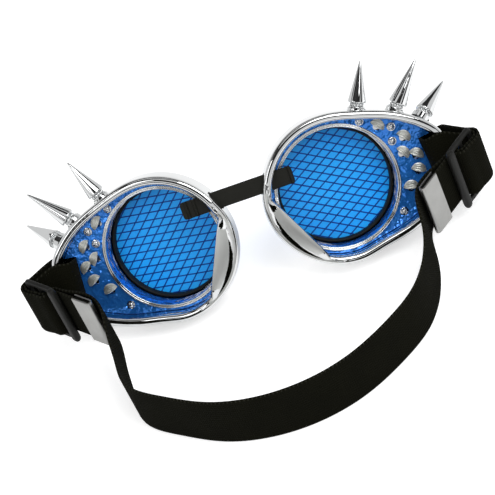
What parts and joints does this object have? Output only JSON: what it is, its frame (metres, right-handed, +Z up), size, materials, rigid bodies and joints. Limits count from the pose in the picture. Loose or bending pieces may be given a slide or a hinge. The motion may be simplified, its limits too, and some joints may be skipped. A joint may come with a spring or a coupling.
{
  "type": "steampunk goggles",
  "caption": "Costume goggles: two plated spiked cups with screw-in bezels over blue lattice lenses, an adjustable bridge strip and an elastic head strap with sliders.",
  "frame": {"origin": "middle of the footprint, on the table under the goggles", "axes": "+X to the wearer's left, +Y from the lenses towards the back of the head, +Z up"},
  "size_m": [0.2028, 0.1238, 0.0696],
  "materials": {
    "plated_shell": "bright plated plastic",
    "plated_trim": "bright plated plastic",
    "blue_plastic": "glossy moulded blue plastic",
    "black_rubber": "matt black sleeve",
    "blue_lens": "tinted lens with a printed lattice",
    "bridge_rubber": "smooth black rubber",
    "black_elastic": "woven elastic with fine lengthwise ribs",
    "black_plastic": "moulded black plastic",
    "crimp_metal": "folded sheet metal"
  },
  "bodies": {
    "right_cup": {"bridge_strip": "bridge_rubber", "headband": "black_elastic", "right_cup_shell": "plated_shell", "right_cup_panel": "blue_plastic", "right_lens_neck": "plated_shell", "right_lens_tube": "blue_plastic", "right_trim_ring": "plated_trim", "right_rivets": "plated_trim", "right_vents": "plated_trim", "right_spike_upper": "plated_trim", "right_spike_middle": "plated_trim", "right_spike_front": "plated_trim", "right_strap_loop": "black_elastic", "right_strap_tail": "black_elastic", "right_strap_crimp": "crimp_metal"},
    "left_cup": {"left_cup_shell": "plated_shell", "left_cup_panel": "blue_plastic", "left_lens_neck": "plated_shell", "left_lens_tube": "blue_plastic", "left_trim_ring": "plated_trim", "left_rivets": "plated_trim", "left_vents": "plated_trim", "left_spike_upper": "plated_trim", "left_spike_middle": "plated_trim", "left_spike_front": "plated_trim", "left_strap_loop": "black_elastic", "left_strap_tail": "black_elastic", "left_strap_crimp": "crimp_metal"},
    "left_lens_pack": {"left_lens_gasket": "black_rubber", "left_lens": "blue_lens"},
    "left_bezel": {"left_bezel": "plated_trim"},
    "left_slider": {"left_strap_slider": "black_plastic"},
    "right_lens_pack": {"right_lens_gasket": "black_rubber", "right_lens": "blue_lens"},
    "right_bezel": {"right_bezel": "plated_trim"},
    "right_slider": {"right_strap_slider": "black_plastic"}
  },
  "joints": [
    {"name": "bridge_slide", "type": "slide", "parent": "right_cup", "child": "left_cup", "axis": [1, 0, 0], "range_m": [-0.008, 0.001], "deforming": ["headband"]},
    {"name": "left_lens_slide", "type": "slide", "parent": "left_cup", "child": "left_lens_pack", "axis": [-0.1661, -0.8464, -0.506], "range_m": [0, 0.0031]},
    {"name": "left_bezel_turn", "type": "hinge", "parent": "left_lens_pack", "child": "left_bezel", "pos_m": [0.03626, -0.04421, 0.02406], "axis": [-0.1661, -0.8464, -0.506], "range_deg": [0, 720]},
    {"name": "left_slider_slide", "type": "slide", "parent": "left_cup", "child": "left_slider", "axis": [-0.7071, 0.7071, 0], "range_m": [0, 0.006], "deforming": ["left_strap_loop", "left_strap_tail", "headband"]},
    {"name": "right_lens_slide", "type": "slide", "parent": "right_cup", "child": "right_lens_pack", "axis": [0.1661, -0.8464, -0.506], "range_m": [0, 0.0031]},
    {"name": "right_bezel_turn", "type": "hinge", "parent": "right_lens_pack", "child": "right_bezel", "pos_m": [-0.03626, -0.04421, 0.02406], "axis": [0.1661, -0.8464, -0.506], "range_deg": [0, 720]},
    {"name": "right_slider_slide", "type": "slide", "parent": "right_cup", "child": "right_slider", "axis": [0.7071, 0.7071, 0], "range_m": [0, 0.006], "deforming": ["right_strap_loop", "right_strap_tail", "headband"]}
  ],
  "couplings": [
    {"joint": "left_lens_slide", "follows": "left_bezel_turn", "m_per_rad": 0.00023873},
    {"joint": "right_lens_slide", "follows": "right_bezel_turn", "m_per_rad": 0.00023873}
  ]
}
